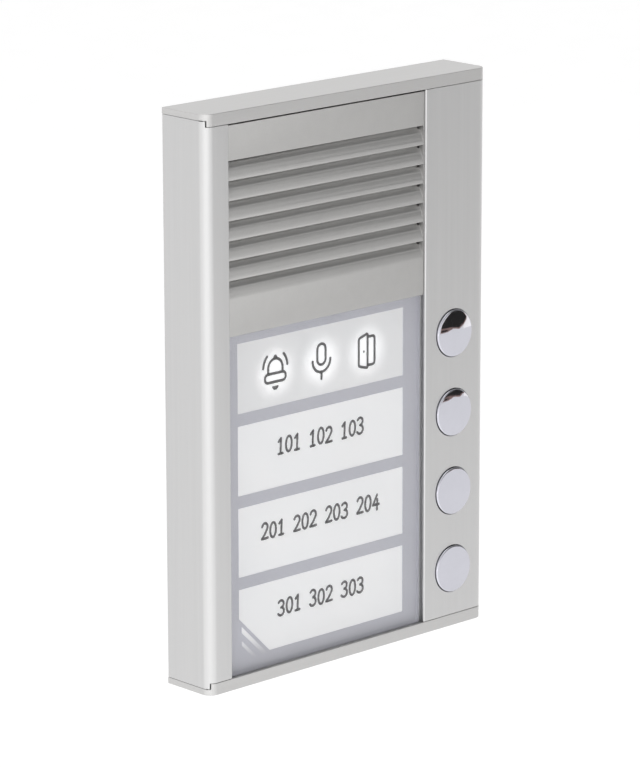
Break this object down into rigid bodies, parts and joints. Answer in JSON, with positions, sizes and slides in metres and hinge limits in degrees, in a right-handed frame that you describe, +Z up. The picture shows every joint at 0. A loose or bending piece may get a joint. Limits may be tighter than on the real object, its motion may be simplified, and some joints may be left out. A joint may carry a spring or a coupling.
{
  "type": "door intercom panel",
  "caption": "Flat wall-mounted door intercom panel with a louvred speaker grille, a backlit name window and a column of round chrome call buttons",
  "frame": {"origin": "centre of the panel's back, on the wall plane", "axes": "+X to the right as seen from the front, +Y into the wall, +Z up"},
  "size_m": [0.119, 0.0201, 0.18],
  "materials": {
    "anodised_aluminium": "matte anodised, fine lengthwise grain",
    "end_cap_aluminium": "matte silver",
    "grille_aluminium": "matte anodised, fine lengthwise grain",
    "chrome_cap": "polished",
    "clear_acrylic": "clear, polished",
    "grey_foil": "printed, satin",
    "label_film": "matte white",
    "diffuser_plastic": "milky, satin",
    "led_white": "clear with a yellow phosphor",
    "board_laminate": "green solder mask",
    "chip_plastic": "moulded black",
    "capacitor_can": "drawn can with a printed sleeve",
    "brass_standoff": "turned",
    "steel_screw": "zinc plated",
    "terminal_plastic": "moulded green",
    "foam_rubber": "closed-cell foam",
    "soft_rubber": "moulded black",
    "acoustic_cloth": "black woven cloth",
    "speaker_steel": "black coated",
    "speaker_magnet": "plated",
    "cone_paper": "mylar film",
    "lead_insulation": "red insulation",
    "microphone_can": "drawn can",
    "switch_plastic": "moulded black",
    "black_plastic": "moulded, fine texture",
    "stem_plastic": "moulded black",
    "spring_steel": "bright wire",
    "plunger_plastic": "moulded brown"
  },
  "bodies": {
    "panel": {"housing_profile": "anodised_aluminium", "top_cap": "end_cap_aluminium", "bottom_cap": "end_cap_aluminium", "bottom_cap_screws": "steel_screw", "lock_screw": "steel_screw", "speaker_grille": "grille_aluminium", "sound_mesh": "acoustic_cloth", "window_pane": "clear_acrylic", "label_mask": "grey_foil", "icon_label": "label_film", "name_label_1": "label_film", "name_label_2": "label_film", "name_label_3": "label_film", "light_diffuser": "diffuser_plastic", "backlight_leds": "led_white", "circuit_board": "board_laminate", "circuit_chips": "chip_plastic", "capacitors": "capacitor_can", "board_standoffs": "brass_standoff", "board_screws": "steel_screw", "terminal_block": "terminal_plastic", "terminal_screws": "steel_screw", "speaker_gasket": "foam_rubber", "speaker_frame": "speaker_steel", "speaker_magnet": "speaker_magnet", "speaker_cone": "cone_paper", "speaker_screws": "steel_screw", "speaker_leads": "lead_insulation", "microphone": "microphone_can", "microphone_boot": "soft_rubber", "return_spring_1": "spring_steel", "return_spring_2": "spring_steel", "return_spring_3": "spring_steel", "return_spring_4": "spring_steel", "tact_switches": "switch_plastic", "button_guide": "black_plastic", "rear_base": "black_plastic", "wall_gasket": "foam_rubber", "cable_grommet": "soft_rubber"},
    "button_1": {"call_button_1": "chrome_cap", "button_stem_1": "stem_plastic"},
    "plunger_1": {"switch_plunger_1": "plunger_plastic"},
    "button_2": {"call_button_2": "chrome_cap", "button_stem_2": "stem_plastic"},
    "plunger_2": {"switch_plunger_2": "plunger_plastic"},
    "button_3": {"call_button_3": "chrome_cap", "button_stem_3": "stem_plastic"},
    "plunger_3": {"switch_plunger_3": "plunger_plastic"},
    "button_4": {"call_button_4": "chrome_cap", "button_stem_4": "stem_plastic"},
    "plunger_4": {"switch_plunger_4": "plunger_plastic"}
  },
  "joints": [
    {"name": "press_1", "type": "slide", "parent": "panel", "child": "button_1", "axis": [0, 1, 0], "range_m": [0, 0.0008], "stiffness_N_per_m": 300, "springref_m": -0.003, "deforming": ["return_spring_1"]},
    {"name": "switch_1", "type": "slide", "parent": "panel", "child": "plunger_1", "axis": [0, 1, 0], "range_m": [0, 0.0008]},
    {"name": "press_2", "type": "slide", "parent": "panel", "child": "button_2", "axis": [0, 1, 0], "range_m": [0, 0.0008], "stiffness_N_per_m": 300, "springref_m": -0.003, "deforming": ["return_spring_2"]},
    {"name": "switch_2", "type": "slide", "parent": "panel", "child": "plunger_2", "axis": [0, 1, 0], "range_m": [0, 0.0008]},
    {"name": "press_3", "type": "slide", "parent": "panel", "child": "button_3", "axis": [0, 1, 0], "range_m": [0, 0.0008], "stiffness_N_per_m": 300, "springref_m": -0.003, "deforming": ["return_spring_3"]},
    {"name": "switch_3", "type": "slide", "parent": "panel", "child": "plunger_3", "axis": [0, 1, 0], "range_m": [0, 0.0008]},
    {"name": "press_4", "type": "slide", "parent": "panel", "child": "button_4", "axis": [0, 1, 0], "range_m": [0, 0.0008], "stiffness_N_per_m": 300, "springref_m": -0.003, "deforming": ["return_spring_4"]},
    {"name": "switch_4", "type": "slide", "parent": "panel", "child": "plunger_4", "axis": [0, 1, 0], "range_m": [0, 0.0008]}
  ],
  "couplings": [
    {"joint": "switch_1", "follows": "press_1", "ratio": 1},
    {"joint": "switch_2", "follows": "press_2", "ratio": 1},
    {"joint": "switch_3", "follows": "press_3", "ratio": 1},
    {"joint": "switch_4", "follows": "press_4", "ratio": 1}
  ]
}
